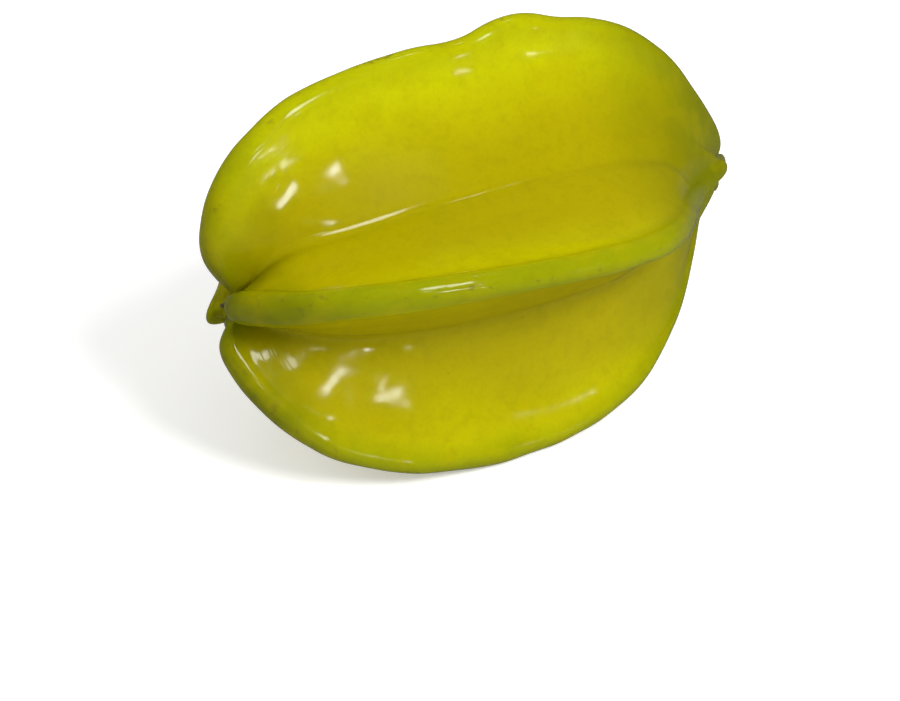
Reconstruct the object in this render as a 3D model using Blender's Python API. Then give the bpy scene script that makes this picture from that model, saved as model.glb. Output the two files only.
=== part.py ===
"""Star fruit: one whole carambola as picked, lying on two of its five ribs.

The fruit's own axis runs along X, with the stalk end at +X and the flower end at -X. Its skin is
one closed sheet. Five crests and the five valleys between them are outlines in planes through the
axis, and the sheet is stretched from each valley over the crest beside it to the next valley. A
stub of stalk and the dried style sit in the pits at the two ends. The finished fruit is then laid
down on the three points of its ribs that carry it.

Metres, +Z up, with the origin under the middle of the fruit, on the surface that it lies on.
"""

import math
from collections import namedtuple

import bmesh
import bpy
from mathutils import Matrix, Vector
from mathutils.bvhtree import BVHTree

MM = 0.001
GAP = 0.3 * MM  # clearance between the fruit and what sits in its pits

# The core: the spindle that the valleys run along, from pit floor to pit floor.
CORE_RADIUS = 22.5 * MM
CORE_MIDDLE = 8.0 * MM  # where along the axis the core is thickest
CORE_FULLNESS_AT_STALK = 1.75
CORE_FULLNESS_AT_FLOWER = 2.3
STALK_FLOOR = 62.0 * MM
FLOWER_FLOOR = 51.5 * MM
STALK_PIT_DEPTH = 2.0 * MM
FLOWER_PIT_DEPTH = 7.0 * MM
STALK_BEND = Vector((0, 3.0, 1.2)) * MM  # how far the axis has bent back and up at the stalk

# Each rib ends in a rounded crest, which grows thicker towards the flower end.
CREST_RADIUS = 2.7 * MM
CREST_RADIUS_AT_FLOWER = 4.2 * MM
CREST_GROWTH = 4  # power of the growth; the higher, the nearer to the flower end it comes
CREST_PER_CLIMB = 0.5  # a crest's radius stays below these shares of its climb from the valley
CREST_PER_OUT = 0.6  # and of its distance from the axis
FLARE_END = 0.82  # share of a rib's height at which its flanks stop closing in
FLARE_POWER = 1.35
FLANK_STEPS = 5
CREST_STEPS = 4
LEAST_SHARPNESS = 3  # how closely a limited radius keeps to the least of its limits
RINGS = 46

# The ribs, in turn about the axis. Angles are in degrees above the horizontal, seen from -X, with
# 0 towards -Y; heights, reaches, pits and sways are in millimetres. The neck is the thickness behind
# the crest, as a share of the crest's own. At each end a crest reaches so far along the axis, and
# curls inwards where it comes within the pit's radius. A fullness of 2 is a rounded end, less is
# pointed and more is blunt. Sway bends a rib sideways, one way in the stalk half and the other way
# in the flower half. A wave raises or lowers the crest around one place along the axis, by a share
# of its height there.
End = namedtuple("End", "reach fullness pit")
Wave = namedtuple("Wave", "place width rise")
Rib = namedtuple("Rib", "angle height neck stalk flower sway waves")
LOW_BACK = (Wave(60, 15, -0.3), Wave(-14, 8, 0.012))
LOW_FRONT = (Wave(60, 18, -0.45), Wave(22, 7, -0.015))
FRONT = (Wave(60, 22, -0.6),)
TOP = (Wave(-3, 5, -0.02), Wave(12, 9, 0.055), Wave(37, 13, 0.06), Wave(63, 8, -0.17))
BACK = (Wave(60, 15, -0.3), Wave(14, 10, -0.02), Wave(-60, 14, -0.65))
RIBS = (
    Rib(-125, 43.8, 0.92, End(64.5, 1.9, 3.5), End(55.0, 1.9, 4.0), 0.9, LOW_BACK),
    Rib(-52, 45.5, 0.92, End(64.6, 1.9, 3.5), End(58.5, 2.5, 4.0), -0.8, LOW_FRONT),
    Rib(17, 43.0, 0.86, End(64.8, 1.9, 3.5), End(59.0, 2.4, 3.0), -2.6, FRONT),
    Rib(95, 43.8, 1.0, End(65.0, 2.0, 3.5), End(60.5, 2.9, 7.5), 0.0, TOP),
    Rib(167, 43.0, 0.92, End(64.8, 1.9, 3.5), End(59.0, 1.9, 2.0), -1.8, BACK),
)

# The stub has a slight waist and is widest at the cut; the style tapers.
STALK_RADIUS = 1.6 * MM
STALK_WAIST_RADIUS = 1.45 * MM
STALK_CUT_RADIUS = 1.9 * MM
STALK_LENGTH = 2.0 * MM
STYLE_RADIUS = 0.8 * MM
STYLE_MIDDLE_RADIUS = 0.65 * MM
STYLE_TIP_RADIUS = 0.4 * MM
STYLE_LENGTH = 2.4 * MM
TRIM_SIDES = 14
FAR_OUT = 100 * MM  # beyond either end of the fruit

# Rolling the fruit to rest.
MOST_ROLLS = 20
STEEPEST_BELOW = -0.5  # a hull face whose normal's height is above this is not underneath
LEVEL = -0.9999999  # the normal's height when a face lies flat on the ground

SKIN_COLOUR = (0.55, 0.50, 0.012, 1)
STALK_COLOUR = (0.10, 0.075, 0.03, 1)
STYLE_COLOUR = (0.05, 0.03, 0.014, 1)


def clear_scene():
    for thing in list(bpy.data.objects):
        bpy.data.objects.remove(thing)


def superellipse(direction, fullness):
    """Radius of a unit superellipse in a direction from its long axis."""
    along = abs(math.cos(direction)) ** fullness
    across = abs(math.sin(direction)) ** fullness
    return (along + across) ** (-1 / fullness)


def axis_bend(along):
    """How far the axis has bent from a straight line, at a place along it."""
    return STALK_BEND * max(0.0, along / STALK_FLOOR) ** 3


def valley_point(direction):
    """(along, out) on a valley's floor; direction is 0 at the stalk and pi at the flower end."""
    stalk_side = direction < math.pi / 2
    end = STALK_FLOOR if stalk_side else -FLOWER_FLOOR
    fullness = CORE_FULLNESS_AT_STALK if stalk_side else CORE_FULLNESS_AT_FLOWER
    radius = superellipse(direction, fullness)
    along = CORE_MIDDLE + abs(end - CORE_MIDDLE) * radius * math.cos(direction)
    return along, CORE_RADIUS * radius * math.sin(direction)


def crest_point(rib, direction):
    """(along, out) on a rib's crest, which curls into the pit at each end."""
    stalk_side = direction < math.pi / 2
    end = rib.stalk if stalk_side else rib.flower
    pit_depth = STALK_PIT_DEPTH if stalk_side else FLOWER_PIT_DEPTH
    radius = superellipse(direction, end.fullness)
    along = end.reach * MM * radius * math.cos(direction)
    out = rib.height * MM * radius * math.sin(direction) * (1 + wave_rise(rib.waves, along / MM))
    curl = pit_depth * math.exp(-((out / (end.pit * MM)) ** 2))
    return along - math.copysign(curl, along), out


def wave_rise(waves, place):
    return sum(wave.rise * math.exp(-(((place - wave.place) / wave.width) ** 2)) for wave in waves)


def flank_profile(base_half_width, height, crest_radius, neck_share):
    """(share of height, half thickness) from a valley up to just short of the crest's top."""
    neck = neck_share * crest_radius
    crest_start = -math.acos(neck_share)
    flank_share = 1 - crest_radius * (1 - math.sin(crest_start)) / height
    points = []
    for step in range(FLANK_STEPS):
        share = step / FLANK_STEPS * flank_share
        flare = max(0.0, 1 - share / FLARE_END) ** FLARE_POWER
        points.append((share, neck + (base_half_width - neck) * flare))
    for step in range(CREST_STEPS):
        turn = crest_start + (math.pi / 2 - crest_start) * step / CREST_STEPS
        share = 1 - crest_radius * (1 - math.sin(turn)) / height
        points.append((share, crest_radius * math.cos(turn)))
    return points


def soft_least(values):
    """A little under the least of some lengths, and without a kink where another one takes over."""
    return sum(value**-LEAST_SHARPNESS for value in values) ** (-1 / LEAST_SHARPNESS)


def rib_strip(rib, sector_before, sector_after, direction):
    """Points of one ring over one rib, from the valley before it to just short of the one after."""
    angle = math.radians(rib.angle)
    outward = Vector((0, -math.cos(angle), math.sin(angle)))
    sideways = Vector((0, math.sin(angle), math.cos(angle)))
    valley_along, valley_out = valley_point(direction)
    crest_along, crest_out = crest_point(rib, direction)
    bend = rib.sway * MM * math.sin(2 * direction)
    to_flower = (1 - math.cos(direction)) / 2
    growth = to_flower**CREST_GROWTH
    full_crest = CREST_RADIUS + (CREST_RADIUS_AT_FLOWER - CREST_RADIUS) * growth

    def place(along, out, offset):
        axis = Vector((along, 0, 0)) + axis_bend(along)
        return axis + outward * out + sideways * offset

    def flank(half_sector, side):
        base = Vector((valley_along, valley_out * math.cos(half_sector)))
        climb = Vector((crest_along, crest_out)) - base
        limits = (full_crest, CREST_PER_CLIMB * climb.length, CREST_PER_OUT * crest_out)
        crest_radius = soft_least(limits)
        base_half_width = valley_out * math.sin(half_sector)
        profile = flank_profile(base_half_width, climb.length, crest_radius, rib.neck)
        points = []
        for share, half in profile:
            spot = base + climb * share
            offset = side * half + bend * share**2
            points.append(place(spot.x, spot.y, offset))
        return points

    crest = place(crest_along, crest_out, bend)
    return flank(sector_before, -1) + [crest] + flank(sector_after, 1)[:0:-1]


def half_sectors():
    """Half the angle from each rib to the next one, in radians."""
    angles = [rib.angle for rib in RIBS]
    following = angles[1:] + [angles[0] + 360]
    return [math.radians(after - angle) / 2 for angle, after in zip(angles, following)]


def fruit_skin():
    """The whole skin as rings of points about the axis, closed by a point in each pit."""
    mesh = bmesh.new()
    after = half_sectors()
    before = after[-1:] + after[:-1]
    rings = []
    for step in range(1, RINGS):
        direction = math.pi * step / RINGS
        points = []
        for rib, sector_before, sector_after in zip(RIBS, before, after):
            points += rib_strip(rib, sector_before, sector_after, direction)
        rings.append([mesh.verts.new(point) for point in points])
    for ring, following in zip(rings, rings[1:]):
        join_rings(mesh, ring, following)
    close_ring(mesh, rings[0], STALK_FLOOR)
    close_ring(mesh, rings[-1], -FLOWER_FLOOR)
    bmesh.ops.recalc_face_normals(mesh, faces=mesh.faces)
    return mesh


def join_rings(mesh, ring, following):
    for i in range(len(ring)):
        j = (i + 1) % len(ring)
        mesh.faces.new((ring[i], ring[j], following[j], following[i]))


def close_ring(mesh, ring, place):
    pole = mesh.verts.new(Vector((place, 0, 0)) + axis_bend(place))
    for i in range(len(ring)):
        mesh.faces.new((pole, ring[i], ring[(i + 1) % len(ring)]))


def pit_seat(skin, radius, end):
    """How far from the middle, towards the end 1 or -1, a rod about the axis clears the skin."""
    tree = BVHTree.FromBMesh(skin)
    start = Vector((end * FAR_OUT, 0, 0)) + axis_bend(end * STALK_FLOOR)
    depths = []
    for side in range(TRIM_SIDES):
        turn = math.tau * side / TRIM_SIDES
        aside = Vector((0, math.cos(turn), math.sin(turn))) * (radius + GAP)
        hit = tree.ray_cast(start + aside, Vector((-end, 0, 0)))[0]
        depths.append(end * hit.x)
    return max(depths) + GAP


def turned_rod(profile, end):
    """A rod from (along, radius) pairs, closed by flat ends, that points towards the end 1 or -1."""
    mesh = bmesh.new()
    middle = axis_bend(end * STALK_FLOOR)
    rings = []
    for along, radius in profile:
        turns = [math.tau * side / TRIM_SIDES for side in range(TRIM_SIDES)]
        spots = [(end * along, radius * math.cos(turn), radius * math.sin(turn)) for turn in turns]
        rings.append([mesh.verts.new(middle + Vector(spot)) for spot in spots])
    for ring, following in zip(rings, rings[1:]):
        join_rings(mesh, ring, following)
    mesh.faces.new(rings[0])
    mesh.faces.new(rings[-1])
    bmesh.ops.recalc_face_normals(mesh, faces=mesh.faces)
    return mesh


def stalk_stub(skin):
    start = pit_seat(skin, STALK_RADIUS, 1)
    waist = start + STALK_LENGTH / 2
    cut = start + STALK_LENGTH
    profile = ((start, STALK_RADIUS), (waist, STALK_WAIST_RADIUS), (cut, STALK_CUT_RADIUS))
    return turned_rod(profile, 1)


def dried_style(skin):
    start = pit_seat(skin, STYLE_RADIUS, -1)
    middle = start + STYLE_LENGTH / 2
    tip = start + STYLE_LENGTH
    profile = ((start, STYLE_RADIUS), (middle, STYLE_MIDDLE_RADIUS), (tip, STYLE_TIP_RADIUS))
    return turned_rod(profile, -1)


def solid_centre(mesh):
    """Centre of mass of a closed mesh, from the tetrahedra between its triangles and the origin."""
    total, moment = 0.0, Vector()
    for loops in mesh.calc_loop_triangles():
        a, b, c = (loop.vert.co for loop in loops)
        volume = a.dot(b.cross(c))
        total += volume
        moment += (a + b + c) / 4 * volume
    return moment / total


def inside_triangle(corners, point, normal):
    a, b, c = corners
    sides = ((a, b), (b, c), (c, a))
    turns = [normal.dot((end - start).cross(point - start)) for start, end in sides]
    return min(turns) >= 0 or max(turns) <= 0


def hull_face_below(mesh, centre):
    """Outward normal of the hull's triangle that lies straight below the centre of mass."""
    hull = bmesh.new()
    for vertex in mesh.verts:
        hull.verts.new(vertex.co)
    made = bmesh.ops.convex_hull(hull, input=hull.verts)
    faces = [face for face in made["geom"] if isinstance(face, bmesh.types.BMFace)]
    found = None
    for face in faces:
        corners = [vertex.co.copy() for vertex in face.verts]
        normal = (corners[1] - corners[0]).cross(corners[2] - corners[0]).normalized()
        if normal.dot(corners[0] - centre) < 0:
            normal.negate()
        if normal.z > STEEPEST_BELOW:
            continue
        foot = centre - Vector((0, 0, normal.dot(centre - corners[0]) / normal.z))
        if inside_triangle(corners, foot, normal):
            found = normal
    hull.free()
    return found


def resting_turn(mesh):
    """Turn that rolls the body onto the hull face under its centre of mass, until it stays there."""
    body = mesh.copy()
    roll = Matrix.Identity(4)
    for _ in range(MOST_ROLLS):
        normal = hull_face_below(body, solid_centre(body))
        turn = normal.rotation_difference(Vector((0, 0, -1))).to_matrix().to_4x4()
        bmesh.ops.transform(body, matrix=turn, verts=body.verts)
        roll = turn @ roll
        if normal.z < LEVEL:
            break
    body.free()
    return roll


def move_to_middle(meshes, roll):
    """Move that brings the origin under the middle of the rolled meshes, level with their lowest."""
    spots = [roll @ vertex.co for mesh in meshes for vertex in mesh.verts]
    lowest = [min(spot[axis] for spot in spots) for axis in range(3)]
    highest = [max(spot[axis] for spot in spots) for axis in range(3)]
    middle_x = (lowest[0] + highest[0]) / 2
    middle_y = (lowest[1] + highest[1]) / 2
    return Matrix.Translation((-middle_x, -middle_y, -lowest[2]))


def principled(name, colour, roughness):
    material = bpy.data.materials.new(name)
    material.use_nodes = True
    shader = material.node_tree.nodes["Principled BSDF"]
    shader.inputs["Base Color"].default_value = colour
    shader.inputs["Roughness"].default_value = roughness
    shader.inputs["Metallic"].default_value = 0
    return material


def add_object(name, mesh, pose, material):
    bmesh.ops.transform(mesh, matrix=pose, verts=mesh.verts)
    data = bpy.data.meshes.new(name)
    mesh.to_mesh(data)
    mesh.free()
    data.shade_smooth()
    data.materials.append(material)
    thing = bpy.data.objects.new(name, data)
    bpy.context.scene.collection.objects.link(thing)
    return thing


def main():
    clear_scene()
    skin = fruit_skin()
    stub = stalk_stub(skin)
    style = dried_style(skin)
    roll = resting_turn(skin)
    pose = move_to_middle((skin, stub, style), roll) @ roll
    add_object("stalk_stub", stub, pose, principled("stalk", STALK_COLOUR, 0.8))
    add_object("dried_style", style, pose, principled("style", STYLE_COLOUR, 0.85))
    add_object("fruit", skin, pose, principled("skin", SKIN_COLOUR, 0.3))


main()
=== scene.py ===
"""Star fruit: the looks of one whole carambola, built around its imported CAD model.

The fruit's skin is a refined copy of the CAD solid with the lumps and dents of a grown thing. The
stalk's stub and the dried style are modelled anew. Everything is in metres, with +Z up, +X towards
the stalk and the origin on the floor, under the middle of the fruit.
"""

import math

import bmesh
import bpy
from bpy.props import FloatProperty, FloatVectorProperty, PointerProperty
from mathutils import Euler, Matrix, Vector, noise
from mathutils.bvhtree import BVHTree
from mathutils.kdtree import KDTree


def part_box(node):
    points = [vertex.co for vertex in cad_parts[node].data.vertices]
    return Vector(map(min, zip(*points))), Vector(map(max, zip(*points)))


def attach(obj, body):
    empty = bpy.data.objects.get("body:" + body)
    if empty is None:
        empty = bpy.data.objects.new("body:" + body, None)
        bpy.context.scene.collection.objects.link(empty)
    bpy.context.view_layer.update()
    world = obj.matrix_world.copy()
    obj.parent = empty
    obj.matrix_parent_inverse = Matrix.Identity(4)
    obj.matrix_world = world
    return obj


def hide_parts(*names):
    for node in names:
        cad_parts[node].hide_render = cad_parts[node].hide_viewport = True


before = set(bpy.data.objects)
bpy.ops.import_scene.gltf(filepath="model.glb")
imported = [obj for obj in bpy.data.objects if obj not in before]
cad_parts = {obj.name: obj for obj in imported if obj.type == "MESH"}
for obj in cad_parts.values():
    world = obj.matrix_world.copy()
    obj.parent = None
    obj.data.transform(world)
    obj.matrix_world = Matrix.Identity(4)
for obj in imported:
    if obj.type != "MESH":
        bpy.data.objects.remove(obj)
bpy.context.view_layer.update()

bl_info = {
    "name": "Star fruit",
    "version": (1, 0, 0),
    "blender": (4, 5, 0),
    "location": "View3D > Sidebar > Star fruit",
    "description": "Builds a whole carambola and a plain stage for it",
    "category": "Object",
}

MM = 0.001
BODY = "root"

# The ribs, in degrees above the horizontal as seen from the flower end, with 0 towards -Y.
RIB_ANGLES = (-125, -52, 17, 95, 167)
OUTLINE_STEPS = 150  # points on each crest and valley line, from the stalk to the flower end
SIDE_SEARCH = 8  # degrees that a crest may sway to either side of its rib's angle
LINE_CUTS = 5  # pieces that each step of a crest or valley line is cut into
TOP_RIB = 3
RIM_GREEN = (0.9, 0.9, 1.0, 0.25, 0.7)  # how green each rib's rim is, and how far painted shade spreads on its flanks and flower end
LEAST_GREEN = 0.42  # how green every rim is, close to its crest

LUMP_SIZE = 17 * MM
KNOB_SIZE = 5 * MM
KNOB_OFFSET = Vector((9, 2, 5))  # keeps the knobs out of step with the lumps
KNOBBY_END = (-0.020, -0.050)  # where along X the knobs start to grow, and are full
LOW_KNOBS = 0.35  # share of their height that the knobs keep everywhere else
RIM_WAVE_SIZE = 9 * MM
WAVY_RIM = (1.5 * MM, 7 * MM)  # how near a crest its wander is full, and ends
CREASE_WIDTH = 1.7 * MM
CREASE_ENDS = (0.058, 0.040)  # how far along X the creases end, and are full
WAIST = -1 * MM  # where the top rib's flanks are drawn in, under the notch of its rim
WAIST_WIDTH = 4 * MM
WAIST_DEPTH = 0.4 * MM
WAIST_FLANK = (0.030, 0.004)  # how near the crest the waist starts, and is full
# Where the ribs' crests are pulled out of line: rib, place along X, pull and reach. A rib's number
# is its place in RIB_ANGLES, and the valley after it has the same number.
PULLS = (
    (4, -0.070, Vector((0.3, 0.0, -4.5)) * MM, 14 * MM),
    (4, -0.057, Vector((-2.7, 0.0, 0.0)) * MM, 8 * MM),
    (1, -0.070, Vector((-1.7, -0.2, 0.0)) * MM, 12 * MM),
    (1, 0.056, Vector((-2.8, 0.0, 0.0)) * MM, 10 * MM),
    (2, 0.061, Vector((1.4, -0.3, 0.9)) * MM, 8 * MM),
    (3, 0.061, Vector((1.0, 0.0, -1.2)) * MM, 9 * MM),
    (3, 0.022, Vector((0.0, 0.0, 0.9)) * MM, 22 * MM),
)
VALLEY_PULLS = ((2, -0.047, Vector((0.0, 0.3, 2.3)) * MM, 11 * MM),)
PULLED_FLANK = (0.018, 0.005)  # how near a crest a pull on it starts, and is full
PULLED_VALLEY = (0.016, 0.004)  # how near a valley a pull on it starts, and is full
UNPULLED_CREST = 6 * MM  # how near a crest a pull on a valley fades

STALK_SIDES = 20
STYLE_SIDES = 10

# Lights: azimuth, with 0 at the front and 90 at the stalk, and elevation in degrees, then distance
# and size in metres.
LIGHT_AIM = Vector((0, 0, 0.04))
KEY_LIGHT = (12, 42, 1.1, 0.45)
FILL_LIGHT = (225, 40, 1.1, 0.6)
# Small lights that the wax mirrors: azimuth and elevation, size and share of the glints' power.
GLINT_DISTANCE = 1.0
GLINTS = (
    (-3, 13, 0.09, 0.8), (8, 23, 0.045, 0.35), (8, 2, 0.045, 0.3), (34, 5, 0.03, 0.12),
    (-14, 31, 0.10, 0.5), (-3, 52, 0.35, 7.2), (115, 66, 0.10, 0.3),
)
CAMERA_PLACE = Vector((-0.23375, -0.38684, 0.28104))
CAMERA_TURN = (58.945, 0, -30.323)  # degrees


def material_colour(name, description, default):
    return FloatVectorProperty(
        name=name, description=description, subtype="COLOR", size=4, min=0, max=1, default=default
    )


class StarFruitSkin(bpy.types.PropertyGroup):
    lump_height: FloatProperty(
        name="Lump height", description="How far the broad lumps of the skin rise",
        default=0.30 * MM, unit="LENGTH",
    )
    knob_height: FloatProperty(
        name="Knob height", description="How far the small knobs near the flower end rise",
        default=0.10 * MM, unit="LENGTH",
    )
    crease_depth: FloatProperty(
        name="Crease depth", description="Depth of the crease along each valley",
        default=0.7 * MM, unit="LENGTH",
    )
    rim_wave: FloatProperty(
        name="Rim wave", description="How far the rims of the ribs wander",
        default=0.25 * MM, unit="LENGTH",
    )
    flank: material_colour("Flank", "Ripe yellow of the ribs' sides", (0.48, 0.448, 0.0004, 1))
    # The valley colour also paints shade on the flanks beside the valleys.
    valley: material_colour("Valley", "Deeper gold along the valleys", (0.37, 0.31, 0.0003, 1))
    rim: material_colour("Rim", "Green along the ribs' rims", (0.26, 0.285, 0.001, 1))
    # The end colour also paints shade at both ends of the fruit.
    end: material_colour("End", "Olive green of the fruit's two ends", (0.145, 0.155, 0.0004, 1))
    blush: material_colour("Blush", "Paler, greener patches of the flanks", (0.52, 0.53, 0.0006, 1))
    scuff: material_colour("Scuff", "Brown of the scuffs and specks", (0.13, 0.10, 0.012, 1))


class StarFruitTrim(bpy.types.PropertyGroup):
    bark: material_colour("Bark", "Outside of the stalk's stub", (0.17, 0.18, 0.03, 1))
    cut: material_colour("Cut", "Dried face where the stalk was cut", (0.24, 0.21, 0.08, 1))
    husk: material_colour("Husk", "Dried style", (0.15, 0.13, 0.05, 1))


class StarFruitStage(bpy.types.PropertyGroup):
    floor_size: FloatProperty(
        name="Floor size", description="Side of the floor", default=6.0, unit="LENGTH"
    )
    focal_length: FloatProperty(
        name="Focal length", description="The camera's lens", default=100.0, unit="CAMERA"
    )
    key_power: FloatProperty(
        name="Key power", description="Power of the main light", default=10.5, unit="POWER"
    )
    fill_power: FloatProperty(
        name="Fill power", description="Power of the light from behind", default=3.0, unit="POWER"
    )
    glint_power: FloatProperty(
        name="Glint power", description="Power that each small light takes its share of",
        default=0.58, unit="POWER",
    )
    sky: FloatProperty(
        name="Sky", description="Brightness of the light from all round", default=0.5
    )


# Mesh helpers


def deselect_all():
    for thing in bpy.context.selected_objects:
        thing.select_set(False)
    bpy.context.view_layer.objects.active = None


def activate(thing):
    deselect_all()
    thing.select_set(True)
    bpy.context.view_layer.objects.active = thing


def merged_copy(node, name):
    """A copy of a CAD node's mesh, with its loose triangles merged and paired into quads."""
    thing = bpy.data.objects.new(name, node.data.copy())
    bpy.context.scene.collection.objects.link(thing)
    thing.data.materials.clear()
    activate(thing)
    bpy.ops.object.mode_set(mode="EDIT")
    bpy.ops.mesh.select_all(action="SELECT")
    bpy.ops.mesh.remove_doubles(threshold=0.001 * MM)
    bpy.ops.mesh.tris_convert_to_quads(
        face_threshold=math.radians(60), shape_threshold=math.radians(60)
    )
    bpy.ops.object.mode_set(mode="OBJECT")
    return thing


def subdivide_smoothly(thing, levels):
    activate(thing)
    modifier = thing.modifiers.new("Smooth", "SUBSURF")
    modifier.levels = modifier.render_levels = levels
    bpy.ops.object.modifier_apply(modifier=modifier.name)


def start_editing(thing):
    activate(thing)
    bpy.ops.object.mode_set(mode="EDIT")


def stop_editing():
    bpy.ops.object.mode_set(mode="OBJECT")


def select_where(thing, kind, test):
    """Selects, in edit mode, just the vertices, edges or faces that pass a test."""
    bpy.ops.mesh.select_mode(type=kind)
    bpy.ops.mesh.select_all(action="DESELECT")
    mesh = bmesh.from_edit_mesh(thing.data)
    for part in {"VERT": mesh.verts, "EDGE": mesh.edges, "FACE": mesh.faces}[kind]:
        if test(part):
            part.select_set(True)
    mesh.select_flush_mode()
    bmesh.update_edit_mesh(thing.data)


def skin_tree(thing):
    mesh = bmesh.new()
    mesh.from_mesh(thing.data)
    tree = BVHTree.FromBMesh(mesh)
    mesh.free()
    return tree


# The fruit


def axis_centre():
    """A point on the fruit's axis, level with the pit that the style sits in."""
    low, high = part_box("dried_style")
    return Vector((0, (low[1] + high[1]) / 2, (low[2] + high[2]) / 2))


def outward(angle):
    return Vector((0, -math.cos(angle), math.sin(angle)))


def skin_line(tree, centre, angles, pick):
    """Points on the skin from the stalk to the flower end: at each step along, the ray from the
    centre, of those at the given angles about the axis, whose length is picked."""
    points = []
    for step in range(1, OUTLINE_STEPS):
        along = math.pi * step / OUTLINE_STEPS
        spots = []
        for angle in angles:
            heading = Vector((math.cos(along), 0, 0)) + outward(angle) * math.sin(along)
            spots.append(tree.ray_cast(centre, heading)[0])
        points.append(pick(spots, key=lambda spot: (spot - centre).length))
    return points


def degrees_between(first, last, step=1):
    return [math.radians(value) for value in range(first, last + 1, step)]


def crest_lines(tree, centre):
    lines = []
    for angle in RIB_ANGLES:
        angles = degrees_between(angle - SIDE_SEARCH, angle + SIDE_SEARCH)
        lines.append(skin_line(tree, centre, angles, max))
    return lines


def valley_lines(tree, centre):
    lines = []
    for angle, after in zip(RIB_ANGLES, RIB_ANGLES[1:] + (RIB_ANGLES[0] + 360,)):
        angles = degrees_between(angle + SIDE_SEARCH, after - SIDE_SEARCH, 2)
        lines.append(skin_line(tree, centre, angles, min))
    return lines


def smoothed(line, reach=4):
    """A line with each of its points moved to the average of its neighbours."""
    ends = range(len(line))
    near = [line[max(0, index - reach):index + reach + 1] for index in ends]
    return [sum(points, Vector()) / len(points) for points in near]


def line_finder(lines):
    """A tree that finds the nearest point of several lines, and the number of the line it is on."""
    points = []
    for number, line in enumerate(lines):
        line = smoothed(line)
        for start, end in zip(line, line[1:]):
            points += [(start.lerp(end, step / LINE_CUTS), number) for step in range(LINE_CUTS)]
    finder = KDTree(len(points))
    for point, number in points:
        finder.insert(point, number)
    finder.balance()
    return finder


def store(thing, name, values):
    """Keeps one number for each vertex, which a material reads by its name."""
    layer = thing.data.attributes.new(name, "FLOAT", "POINT")
    for slot, value in zip(layer.data, values):
        slot.value = value


def smooth_step(low, high, value):
    share = min(1.0, max(0.0, (value - low) / (high - low)))
    return share * share * (3 - 2 * share)


def bell(value, middle, width):
    return math.exp(-(((value - middle) / width) ** 2))


def crest_shares(near_rims):
    """How much of a pull on its crest each vertex takes."""
    return [smooth_step(*PULLED_FLANK, rim[2]) for rim in near_rims]


def valley_shares(near_rims, near_valleys):
    """How much of a pull on its valley each vertex takes."""
    return [
        smooth_step(*PULLED_VALLEY, valley[2]) * smooth_step(0, UNPULLED_CREST, rim[2])
        for rim, valley in zip(near_rims, near_valleys)
    ]


class MODEL_OT_fruit_skin(bpy.types.Operator):
    """Refines the fruit's skin and gives it its lumps, creases, bent ribs and colours"""

    bl_idname = "star_fruit.skin"
    bl_label = "Fruit skin"

    def execute(self, context):
        settings = context.scene.star_fruit_skin
        fruit = merged_copy(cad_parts["fruit"], "ripe_fruit")
        subdivide_smoothly(fruit, 2)
        tree = skin_tree(fruit)
        centre = axis_centre()
        crests, hollows = crest_lines(tree, centre), valley_lines(tree, centre)
        rims, valleys = line_finder(crests), line_finder(hollows)
        vertices = fruit.data.vertices
        near_rims = [rims.find(vertex.co) for vertex in vertices]
        near_valleys = [valleys.find(vertex.co) for vertex in vertices]
        store(fruit, "along", [vertex.co.x / MM for vertex in vertices])
        store(fruit, "from_rim", [near[2] / MM for near in near_rims])
        store(fruit, "from_valley", [near[2] / MM for near in near_valleys])
        store(fruit, "rim_green", [RIM_GREEN[near[1]] for near in near_rims])
        self.shape(fruit, near_rims, near_valleys, settings)
        self.pull(fruit, crests, near_rims, crest_shares(near_rims), PULLS)
        shares = valley_shares(near_rims, near_valleys)
        self.pull(fruit, hollows, near_valleys, shares, VALLEY_PULLS)
        fruit.data.shade_smooth()
        fruit.data.materials.append(skin_material(settings))
        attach(fruit, BODY)
        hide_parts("fruit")
        return {"FINISHED"}

    def shape(self, fruit, near_rims, near_valleys, settings):
        """Moves the skin along its normals by its lumps, its creases and the wander of its rims."""
        moved = []
        for vertex, rim, valley in zip(fruit.data.vertices, near_rims, near_valleys):
            place = vertex.co
            knobby = LOW_KNOBS + (1 - LOW_KNOBS) * smooth_step(*KNOBBY_END, place.x)
            lump = noise.noise(place / LUMP_SIZE) * settings.lump_height
            knob = noise.noise(place / KNOB_SIZE + KNOB_OFFSET) * settings.knob_height
            crease = bell(valley[2], 0, CREASE_WIDTH) * smooth_step(*CREASE_ENDS, abs(place.x))
            wave = noise.noise(Vector((place.x / RIM_WAVE_SIZE, rim[1], 3))) * settings.rim_wave
            wave *= 1 - smooth_step(*WAVY_RIM, rim[2])
            waist = bell(place.x, WAIST, WAIST_WIDTH) * (rim[1] == TOP_RIB)
            waist *= smooth_step(*WAIST_FLANK, rim[2])
            rise = lump + knob * knobby + wave
            rise -= crease * settings.crease_depth + waist * WAIST_DEPTH
            moved.append(place + vertex.normal * rise)
        for vertex, place in zip(fruit.data.vertices, moved):
            vertex.co = place
        fruit.data.update()

    def pull(self, fruit, lines, nearest, shares, pulls):
        """Pulls some crests or valleys out of line, and the skin beside them softly with them."""
        for number, along, shift, reach in pulls:
            middle = min(lines[number], key=lambda point: abs(point.x - along))
            for vertex, near, share in zip(fruit.data.vertices, nearest, shares):
                if near[1] == number:
                    vertex.co += shift * bell((vertex.co - middle).length, 0, reach) * share
        fruit.data.update()


# The trim at the two ends


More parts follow.
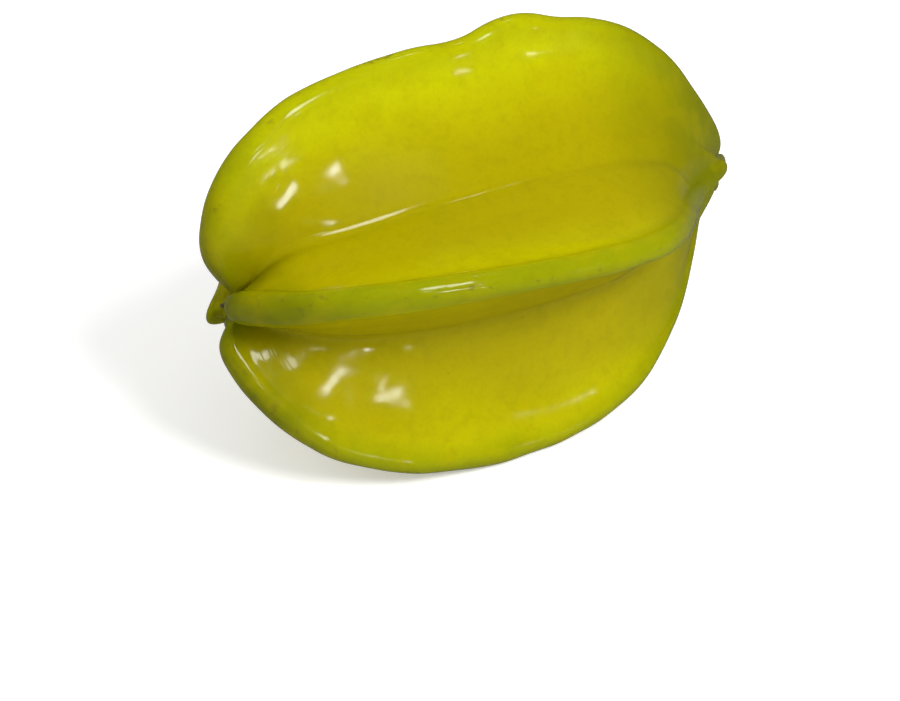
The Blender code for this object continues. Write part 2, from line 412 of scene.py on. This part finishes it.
class MODEL_OT_fruit_trim(bpy.types.Operator):
    """Models the cut stub of stalk and the dried style in the pits at the ends"""

    bl_idname = "star_fruit.trim"
    bl_label = "Stalk and style"

    def execute(self, context):
        settings = context.scene.star_fruit_trim
        self.stalk(settings)
        self.style(settings)
        return {"FINISHED"}

    def rod(self, node, name, sides, rings):
        """A cylinder along X that fills a CAD node's box, cut into rings, left in edit mode."""
        low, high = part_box(node)
        low, high = Vector(low), Vector(high)
        deselect_all()
        bpy.ops.mesh.primitive_cylinder_add(
            vertices=sides,
            radius=(high.z - low.z) / 2,
            depth=high.x - low.x,
            location=(low + high) / 2,
            rotation=(0, math.radians(90), 0),
        )
        rod = bpy.context.object
        rod.name = rod.data.name = name
        bpy.ops.object.transform_apply(location=True, rotation=True, scale=True)
        start_editing(rod)
        select_where(rod, "EDGE", lambda edge: abs(edge.verts[0].co.x - edge.verts[1].co.x) > MM)
        bpy.ops.mesh.subdivide(number_cuts=rings)
        return rod, low, high

    def squeeze(self, rod, low, high, share, scale, shift=(0, 0, 0)):
        """Scales and shifts the ring of a rod that is a given share of the way along it."""
        at = low.x + share * (high.x - low.x)
        select_where(rod, "VERT", lambda vertex: abs(vertex.co.x - at) < 0.05 * MM)
        middle = Vector((at, (low.y + high.y) / 2, (low.z + high.z) / 2))
        bpy.ops.transform.resize(value=(1, scale, scale), center_override=middle)
        bpy.ops.transform.translate(value=[amount * MM for amount in shift])

    def flute(self, rod, low, high, sides, scale):
        """Draws in every second edge of a rod, as bark and dried stems shrink."""
        middle = (low + high) / 2

        def in_groove(vertex):
            turn = math.atan2(vertex.co.z - middle.z, vertex.co.y - middle.y)
            return round(turn / math.radians(360 / sides)) % 2 == 0

        select_where(rod, "VERT", in_groove)
        bpy.ops.transform.resize(value=(1, scale, scale), center_override=middle)

    def step_face(self, rod, side, inset, depth):
        """Insets the end face of a rod and moves it along X."""
        faces = bmesh.from_edit_mesh(rod.data).faces
        ends = [face for face in faces if len(face.verts) > 4]
        last = max(ends, key=lambda face: side * face.calc_center_median().x)
        select_where(rod, "FACE", lambda face: face.index == last.index)
        bpy.ops.mesh.inset(thickness=inset)
        bpy.ops.transform.translate(value=(side * depth, 0, 0))

    def finish(self, rod, node, slot_name, material, wobble):
        bpy.ops.mesh.select_all(action="SELECT")
        bpy.ops.transform.vertex_random(offset=wobble, seed=5)
        stop_editing()
        subdivide_smoothly(rod, 2)
        rod.data.shade_smooth()
        rod.data.materials.append(material)
        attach(rod, BODY)
        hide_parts(node)

    def stalk(self, settings):
        """A fluted stub with a spread foot, and a cut face with a ring of wood round its pith."""
        stub, low, high = self.rod("stalk_stub", "cut_stalk", STALK_SIDES, 4)
        for share, scale in ((0, 1.0), (0.2, 0.86), (0.4, 0.8), (0.6, 0.8), (0.8, 0.86), (1, 0.84)):
            self.squeeze(stub, low, high, share, scale)
        self.flute(stub, low, high, STALK_SIDES, 0.92)
        for inset, depth in ((0.15, 0.05), (0.22, -0.22), (0.3, 0.1), (0.25, -0.12)):
            self.step_face(stub, 1, inset * MM, depth * MM)
        self.finish(stub, "stalk_stub", "stalk", stalk_material(settings, high.x), 0.05 * MM)

    def style(self, settings):
        """A shrunken, bent style whose tip has split into a ragged crown."""
        style, low, high = self.rod("dried_style", "dry_style", STYLE_SIDES, 4)
        rings = (
            (1, 1.0, (0, 0, 0)), (0.8, 0.75, (0, 0, 0)), (0.6, 0.6, (0, 0.05, 0.1)),
            (0.4, 0.55, (0, 0.1, 0.15)), (0.2, 0.6, (0, 0.12, 0.1)), (0, 0.75, (0, 0.1, 0)),
        )
        for share, scale, shift in rings:
            self.squeeze(style, low, high, share, scale, shift)
        self.flute(style, low, high, STYLE_SIDES, 0.85)
        for inset, depth in ((0.12, 0.0), (0.12, -0.35)):
            self.step_face(style, -1, inset * MM, depth * MM)
        self.finish(style, "dried_style", "style", husk_material(settings), 0.06 * MM)


# Materials


def new_material(name):
    material = bpy.data.materials.new(name)
    material.use_nodes = True
    return material, material.node_tree, material.node_tree.nodes["Principled BSDF"]


def add_node(tree, kind, **settings):
    node = tree.nodes.new(kind)
    for name, value in settings.items():
        setattr(node, name, value)
    return node


def link(tree, value, socket):
    """Links a node's output to a socket, or sets the socket to a plain value."""
    if isinstance(value, bpy.types.NodeSocket):
        tree.links.new(value, socket)
    else:
        socket.default_value = value


def remap(tree, value, low, high, to_low=0.0, to_high=1.0):
    node = add_node(tree, "ShaderNodeMapRange", interpolation_type="SMOOTHSTEP")
    tree.links.new(value, node.inputs["Value"])
    limits = {"From Min": low, "From Max": high, "To Min": to_low, "To Max": to_high}
    for name, number in limits.items():
        node.inputs[name].default_value = number
    return node.outputs["Result"]


def maths(tree, operation, first, second=0.0):
    node = add_node(tree, "ShaderNodeMath", operation=operation)
    link(tree, first, node.inputs[0])
    link(tree, second, node.inputs[1])
    return node.outputs["Value"]


def total(tree, *values):
    result = values[0]
    for value in values[1:]:
        result = maths(tree, "ADD", result, value)
    return result


def mix_colour(tree, factor, first, second):
    node = add_node(tree, "ShaderNodeMix", data_type="RGBA")
    link(tree, factor, node.inputs["Factor"])
    link(tree, first, node.inputs[6])
    link(tree, second, node.inputs[7])
    return node.outputs[2]


def attribute(tree, name):
    return add_node(tree, "ShaderNodeAttribute", attribute_name=name).outputs["Fac"]


def object_place(tree):
    return add_node(tree, "ShaderNodeTexCoord").outputs["Object"]


def new_group(name, numbers):
    """A node group that takes a vector and some numbers and gives one mask."""
    group = bpy.data.node_groups.new(name, "ShaderNodeTree")
    group.interface.new_socket(name="Vector", in_out="INPUT", socket_type="NodeSocketVector")
    for title, value in numbers.items():
        socket = group.interface.new_socket(
            name=title, in_out="INPUT", socket_type="NodeSocketFloat"
        )
        socket.default_value = value
    group.interface.new_socket(name="Mask", in_out="OUTPUT", socket_type="NodeSocketFloat")
    given = group.nodes.new("NodeGroupInput").outputs
    mask = group.nodes.new("NodeGroupOutput").inputs["Mask"]
    return group, given, mask


def use_group(tree, group, **inputs):
    node = add_node(tree, "ShaderNodeGroup", node_tree=group)
    for name, value in inputs.items():
        link(tree, value, node.inputs[name])
    return node.outputs["Mask"]


def patches_group():
    """Soft patches about Size across, which cover more of the surface as Low and High fall."""
    group, given, mask = new_group(
        "soft_patches", {"Size": 5 * MM, "Detail": 2.0, "Low": 0.3, "High": 0.7}
    )
    texture = add_node(group, "ShaderNodeTexNoise")
    link(group, given["Vector"], texture.inputs["Vector"])
    link(group, maths(group, "DIVIDE", 1.0, given["Size"]), texture.inputs["Scale"])
    link(group, given["Detail"], texture.inputs["Detail"])
    level = remap(group, texture.outputs["Fac"], 0.0, 1.0)
    for name, source in (("From Min", "Low"), ("From Max", "High")):
        link(group, given[source], level.node.inputs[name])
    link(group, level, mask)
    return group


def ridges_group():
    """Thin ridges that wander like veins or fibres, Size apart and Width of that wide."""
    group, given, mask = new_group("fine_ridges", {"Size": 2 * MM, "Width": 0.1})
    texture = add_node(group, "ShaderNodeTexNoise")
    link(group, given["Vector"], texture.inputs["Vector"])
    link(group, maths(group, "DIVIDE", 1.0, given["Size"]), texture.inputs["Scale"])
    away = maths(group, "ABSOLUTE", maths(group, "SUBTRACT", texture.outputs["Fac"], 0.5))
    level = remap(group, away, 0.0, 1.0, 1.0, 0.0)
    link(group, given["Width"], level.node.inputs["From Max"])
    link(group, level, mask)
    return group


def specks_group():
    """Small round specks, Spacing apart, of which a Share shows."""
    group, given, mask = new_group("specks", {"Spacing": 3 * MM, "Radius": 0.15, "Share": 0.3})
    cells = add_node(group, "ShaderNodeTexVoronoi")
    link(group, given["Vector"], cells.inputs["Vector"])
    link(group, maths(group, "DIVIDE", 1.0, given["Spacing"]), cells.inputs["Scale"])
    chosen = add_node(group, "ShaderNodeSeparateColor")
    link(group, cells.outputs["Color"], chosen.inputs["Color"])
    shows = maths(group, "LESS_THAN", chosen.outputs["Red"], given["Share"])
    size = maths(group, "MULTIPLY", chosen.outputs["Green"], given["Radius"])
    dot = remap(group, cells.outputs["Distance"], 0.0, 1.0, 1.0, 0.0)
    link(group, size, dot.node.inputs["From Max"])
    link(group, maths(group, "MULTIPLY", dot, shows), mask)
    return group


def group_called(name, make):
    return bpy.data.node_groups.get(name) or make()


def patches(tree, place, size, low, high, detail=2.0):
    group = group_called("soft_patches", patches_group)
    return use_group(tree, group, Vector=place, Size=size, Detail=detail, Low=low, High=high)


def ridges(tree, place, size, width):
    group = group_called("fine_ridges", ridges_group)
    return use_group(tree, group, Vector=place, Size=size, Width=width)


def specks(tree, place, spacing, radius, share):
    group = group_called("specks", specks_group)
    return use_group(tree, group, Vector=place, Spacing=spacing, Radius=radius, Share=share)


def scaled(tree, mask, amount):
    return maths(tree, "MULTIPLY", mask, amount)


def bump(tree, shader, height):
    """Feeds a height in millimetres to a shader's normal."""
    node = add_node(tree, "ShaderNodeBump")
    node.inputs["Distance"].default_value = MM
    link(tree, height, node.inputs["Height"])
    link(tree, node.outputs["Normal"], shader.inputs["Normal"])


def skin_colour(tree, place, settings):
    """Ripe yellow that turns golden in the valleys and green on the rims and the ends; the golden
    valleys and the olive ends are partly painted shade.

    The skin's attributes are distances in millimetres, but for rim_green, which runs from 0 to 1.
    """
    rim, valley, along = (attribute(tree, name) for name in ("from_rim", "from_valley", "along"))
    wander = maths(tree, "SUBTRACT", patches(tree, place, 14 * MM, 0.2, 0.8), 0.5)
    wander = scaled(tree, wander, 7.0)
    green = attribute(tree, "rim_green")
    pale = remap(tree, total(tree, rim, wander, scaled(tree, green, 14.0)), 8.0, 22.0, 0.8, 0.0)
    pale = maths(
        tree, "MAXIMUM", pale, scaled(tree, patches(tree, place, 22 * MM, 0.45, 0.75), 0.4)
    )
    colour = mix_colour(tree, pale, settings.flank, settings.blush)
    # Painted shade: the golden valleys are partly the skin's own tone and partly shade, which
    # spreads further up the flanks of the ribs with greener rims.
    reach = total(tree, valley, wander, scaled(tree, green, -7.0))
    gold_and_shade = remap(tree, reach, 2.0, 22.0, 0.9, 0.0)
    colour = mix_colour(tree, gold_and_shade, colour, settings.valley)
    edge = remap(tree, total(tree, rim, scaled(tree, wander, 0.3)), 1.5, 7.0, 0.95, 0.0)
    edge = maths(tree, "MULTIPLY", edge, maths(tree, "MAXIMUM", green, LEAST_GREEN))
    colour = mix_colour(tree, edge, colour, settings.rim)
    # Painted shade: the olive ends are partly the skin's own green and partly shade. They are
    # darker towards the stalk, and at the flower end darker on the ribs with greener rims.
    stalk = remap(tree, total(tree, along, wander), 12.0, 60.0, 0.0, 0.95)
    flower = remap(tree, total(tree, along, wander), -66.0, -46.0, 1.0, 0.0)
    flower = maths(tree, "MULTIPLY", flower, total(tree, scaled(tree, green, 0.3), 0.65))
    colour = mix_colour(tree, maths(tree, "MAXIMUM", stalk, flower), colour, settings.end)
    clouds = scaled(tree, patches(tree, place, 7 * MM, 0.45, 0.7, 3.0), 0.3)
    colour = mix_colour(tree, clouds, colour, settings.valley)
    mottles = scaled(tree, patches(tree, place, 2.6 * MM, 0.45, 0.75, 4.0), 0.13)
    colour = mix_colour(tree, mottles, colour, settings.end)
    freckles = scaled(tree, patches(tree, place, 0.8 * MM, 0.4, 0.75), 0.09)
    colour = mix_colour(tree, freckles, colour, settings.end)
    marks = scaled(tree, specks(tree, place, 3.5 * MM, 0.16, 0.14), 0.4)
    near_end = remap(tree, along, -50.0, -35.0, 5.0, 1.4)
    worn = remap(tree, maths(tree, "DIVIDE", rim, near_end), 0.3, 1.0, 1.0, 0.0)
    worn = maths(tree, "MULTIPLY", worn, patches(tree, place, 2.2 * MM, 0.58, 0.68, 4.0))
    marks = maths(tree, "MAXIMUM", marks, scaled(tree, worn, 0.45))
    return mix_colour(tree, marks, colour, settings.scuff)


def skin_material(settings):
    """Waxy skin with soft swells, a fine grain and faint veins that run along the rims."""
    material, tree, shader = new_material("waxy_skin")
    place = object_place(tree)
    link(tree, skin_colour(tree, place, settings), shader.inputs["Base Color"])
    cloudy = patches(tree, place, 9 * MM, 0.35, 0.65)
    link(tree, total(tree, scaled(tree, cloudy, 0.03), 0.09), shader.inputs["Roughness"])
    flow = add_node(tree, "ShaderNodeCombineXYZ")
    rim, along = attribute(tree, "from_rim"), attribute(tree, "along")
    link(tree, rim, flow.inputs["X"])
    link(tree, scaled(tree, along, 0.13), flow.inputs["Y"])
    veins = ridges(tree, flow.outputs["Vector"], 2.2, 0.03)
    for shown in (
        remap(tree, along, -40.0, -15.0, 1.0, 0.15), remap(tree, rim, 9.0, 14.0, 1.0, 0.0),
        patches(tree, place, 7 * MM, 0.48, 0.6),
    ):
        veins = maths(tree, "MULTIPLY", veins, shown)
    veins = scaled(tree, veins, 0.016)
    swells = scaled(tree, patches(tree, place, 4 * MM, 0.1, 0.9, 0.5), 0.04)
    grain = scaled(tree, patches(tree, place, 0.8 * MM, 0.2, 0.8), 0.0015)
    bump(tree, shader, total(tree, veins, swells, grain))
    shader.inputs["Specular IOR Level"].default_value = 0.3
    shader.inputs["Subsurface Weight"].default_value = 0.3
    shader.inputs["Subsurface Radius"].default_value = (1.0, 0.8, 0.05)
    shader.inputs["Subsurface Scale"].default_value = 2.5 * MM
    return material


def fibrous(tree, place, size):
    """Fibres that run along X."""
    stretch = add_node(tree, "ShaderNodeMapping")
    stretch.inputs["Scale"].default_value = (0.2, 1, 1)
    link(tree, place, stretch.inputs["Vector"])
    return ridges(tree, stretch.outputs["Vector"], size, 0.2)


def dry_finish(tree, shader, place, colour, fibre, rough):
    """Finishes a dried piece: darker between its fibres, blotched and specked."""
    dark = maths(tree, "MAXIMUM", scaled(tree, fibre, 0.6), patches(tree, place, MM, 0.55, 0.75))
    shade = add_node(tree, "ShaderNodeMix", data_type="RGBA", blend_type="MULTIPLY")
    link(tree, scaled(tree, dark, 0.75), shade.inputs["Factor"])
    link(tree, colour, shade.inputs[6])
    link(tree, (0.35, 0.3, 0.25, 1), shade.inputs[7])
    pale = scaled(tree, specks(tree, place, 0.5 * MM, 0.4, 0.4), 0.5)
    spotted = mix_colour(tree, pale, shade.outputs[2], (0.3, 0.26, 0.12, 1))
    link(tree, spotted, shader.inputs["Base Color"])
    link(tree, total(tree, scaled(tree, dark, 0.2), rough), shader.inputs["Roughness"])
    grain = patches(tree, place, 0.25 * MM, 0.3, 0.7)
    bump(tree, shader, total(tree, scaled(tree, fibre, -0.06), scaled(tree, grain, 0.03)))


def stalk_material(settings, cut_at):
    """Green bark that is drying, with a paler face where it was cut."""
    material, tree, shader = new_material("drying_stalk")
    place = object_place(tree)
    axis = add_node(tree, "ShaderNodeSeparateXYZ")
    link(tree, place, axis.inputs["Vector"])
    cut = remap(tree, axis.outputs["X"], cut_at - 0.35 * MM, cut_at - 0.1 * MM)
    colour = mix_colour(tree, cut, settings.bark, settings.cut)
    dry_finish(tree, shader, place, colour, fibrous(tree, place, 0.5 * MM), 0.6)
    return material


def husk_material(settings):
    material, tree, shader = new_material("dry_husk")
    place = object_place(tree)
    dry_finish(tree, shader, place, settings.husk, fibrous(tree, place, 0.3 * MM), 0.7)
    return material


# The stage


class MODEL_OT_fruit_stage(bpy.types.Operator):
    """Adds the floor, the lights and the camera"""

    bl_idname = "star_fruit.stage"
    bl_label = "Stage"

    def execute(self, context):
        settings = context.scene.star_fruit_stage
        self.floor(settings)
        self.lights(settings)
        self.camera(settings)
        context.scene.view_settings.view_transform = "Standard"
        return {"FINISHED"}

    def floor(self, settings):
        deselect_all()
        bpy.ops.mesh.primitive_plane_add(size=settings.floor_size, location=(0, 0, 0))
        floor = bpy.context.object
        floor.name = "floor"
        floor.visible_glossy = False
        material, tree, shader = new_material("plain_floor")
        seen = tree.nodes.new("ShaderNodeLightPath").outputs["Is Camera Ray"]
        tone = mix_colour(tree, seen, (0.45, 0.45, 0.44, 1), (0.92, 0.92, 0.92, 1))
        link(tree, tone, shader.inputs["Base Color"])
        glow = mix_colour(tree, seen, (0.22, 0.22, 0.22, 1), (0.33, 0.33, 0.33, 1))
        link(tree, glow, shader.inputs["Emission Color"])
        shader.inputs["Emission Strength"].default_value = 1
        shader.inputs["Roughness"].default_value = 0.9
        shader.inputs["Specular IOR Level"].default_value = 0.1
        floor.data.materials.append(material)

    def area_light(self, name, azimuth, elevation, distance, size, power):
        """A round light that shines on the middle of the fruit."""
        turn, climb = math.radians(azimuth), math.radians(elevation)
        level = math.cos(climb)
        heading = Vector((math.sin(turn) * level, -math.cos(turn) * level, math.sin(climb)))
        data = bpy.data.lights.new(name, "AREA")
        data.shape = "DISK"
        data.size = size
        data.energy = power
        light = bpy.data.objects.new(name, data)
        light.location = LIGHT_AIM + heading * distance
        light.rotation_euler = heading.to_track_quat("Z", "Y").to_euler()
        bpy.context.scene.collection.objects.link(light)
        return light

    def lights(self, settings):
        key = self.area_light("key", *KEY_LIGHT, settings.key_power)
        fill = self.area_light("fill", *FILL_LIGHT, settings.fill_power)
        key.visible_glossy = fill.visible_glossy = False
        for number, (azimuth, elevation, size, share) in enumerate(GLINTS):
            power = settings.glint_power * share
            name = f"glint_{number}"
            glint = self.area_light(name, azimuth, elevation, GLINT_DISTANCE, size, power)
            glint.visible_diffuse = False
        self.surroundings(settings)

    def surroundings(self, settings):
        """An even sky, seen as white, which the wax mirrors dimly, and more so from below."""
        world = bpy.data.worlds.new("studio")
        world.use_nodes = True
        tree = world.node_tree
        rays = tree.nodes.new("ShaderNodeLightPath").outputs
        heading = add_node(tree, "ShaderNodeSeparateXYZ")
        link(tree, tree.nodes.new("ShaderNodeTexCoord").outputs["Generated"], heading.inputs[0])
        mirrored = remap(tree, heading.outputs["Z"], -0.25, 0.1, 0.15, 0.04)
        strength = remap(tree, rays["Is Glossy Ray"], 0.0, 1.0, settings.sky)
        link(tree, mirrored, strength.node.inputs["To Max"])
        strength = maths(tree, "MAXIMUM", strength, rays["Is Camera Ray"])
        background = tree.nodes["Background"]
        background.inputs["Color"].default_value = (1, 1, 1, 1)
        link(tree, strength, background.inputs["Strength"])
        bpy.context.scene.world = world

    def camera(self, settings):
        data = bpy.data.cameras.new("camera")
        data.lens = settings.focal_length
        data.sensor_width = 36
        camera = bpy.data.objects.new("camera", data)
        camera.location = CAMERA_PLACE
        camera.rotation_euler = Euler([math.radians(value) for value in CAMERA_TURN], "XYZ")
        bpy.context.scene.collection.objects.link(camera)
        bpy.context.scene.camera = camera


class VIEW3D_PT_star_fruit(bpy.types.Panel):
    """Lists the operators that build the star fruit"""

    bl_label = "Star fruit"
    bl_category = "Star fruit"
    bl_space_type = "VIEW_3D"
    bl_region_type = "UI"

    def draw(self, context):
        for operator in OPERATORS:
            self.layout.operator(operator.bl_idname)


OPERATORS = (MODEL_OT_fruit_skin, MODEL_OT_fruit_trim, MODEL_OT_fruit_stage)
CLASSES = (StarFruitSkin, StarFruitTrim, StarFruitStage, *OPERATORS, VIEW3D_PT_star_fruit)


def register():
    for added in CLASSES:
        bpy.utils.register_class(added)
    bpy.types.Scene.star_fruit_skin = PointerProperty(type=StarFruitSkin)
    bpy.types.Scene.star_fruit_trim = PointerProperty(type=StarFruitTrim)
    bpy.types.Scene.star_fruit_stage = PointerProperty(type=StarFruitStage)


def unregister():
    del bpy.types.Scene.star_fruit_stage
    del bpy.types.Scene.star_fruit_trim
    del bpy.types.Scene.star_fruit_skin
    for added in reversed(CLASSES):
        bpy.utils.unregister_class(added)


def main():
    register()
    bpy.ops.star_fruit.skin()
    bpy.ops.star_fruit.trim()
    bpy.ops.star_fruit.stage()


if __name__ == "__main__":
    main()
